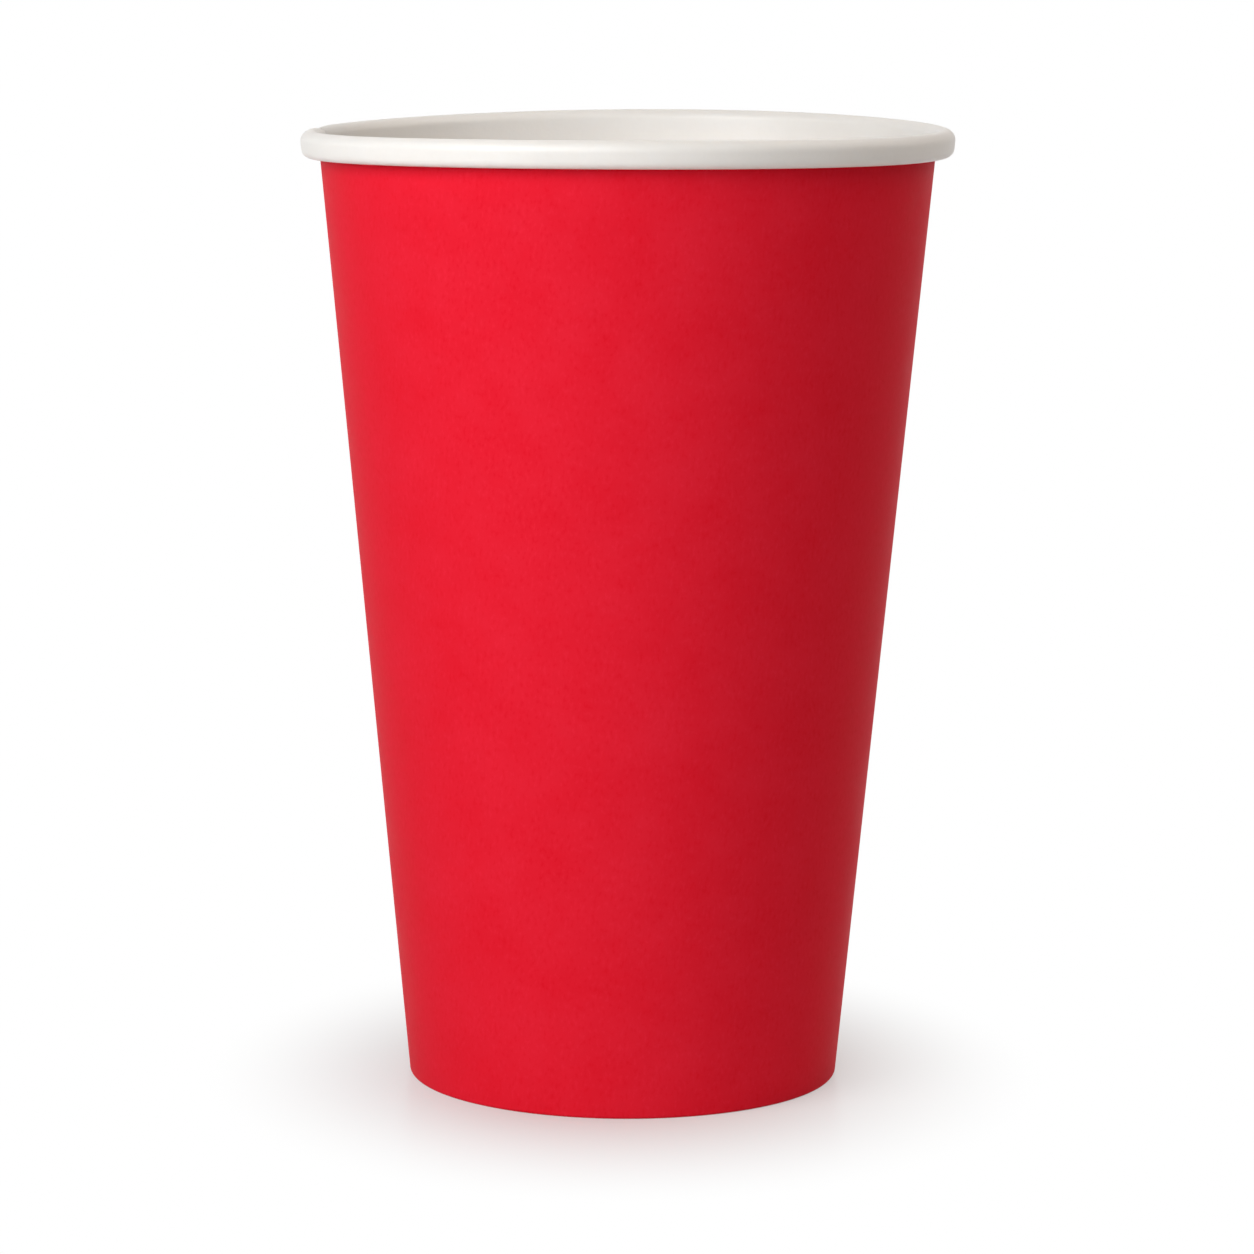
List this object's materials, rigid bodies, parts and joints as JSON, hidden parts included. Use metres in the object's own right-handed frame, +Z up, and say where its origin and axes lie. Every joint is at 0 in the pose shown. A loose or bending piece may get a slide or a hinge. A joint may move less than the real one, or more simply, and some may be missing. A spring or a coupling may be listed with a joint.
{
  "type": "paper cup",
  "caption": "Tall single-wall paper cup: red tapered board wall with a lapped side seam, white rolled rim and folded foot, and a white recessed base disc.",
  "frame": {"origin": "on the table at the cup's axis, under the middle of the foot", "axes": "+Z up along the cup's axis towards the rolled rim; the side seam is at the back left, 165 degrees round from +X towards +Y"},
  "size_m": [0.09, 0.09, 0.133],
  "materials": {
    "printed_board": "satin red print outside, white coated board inside and on the roll",
    "white_board": "white coated board"
  },
  "bodies": {
    "root": {"side_wall": "printed_board", "base_disc": "white_board"}
  },
  "joints": []
}
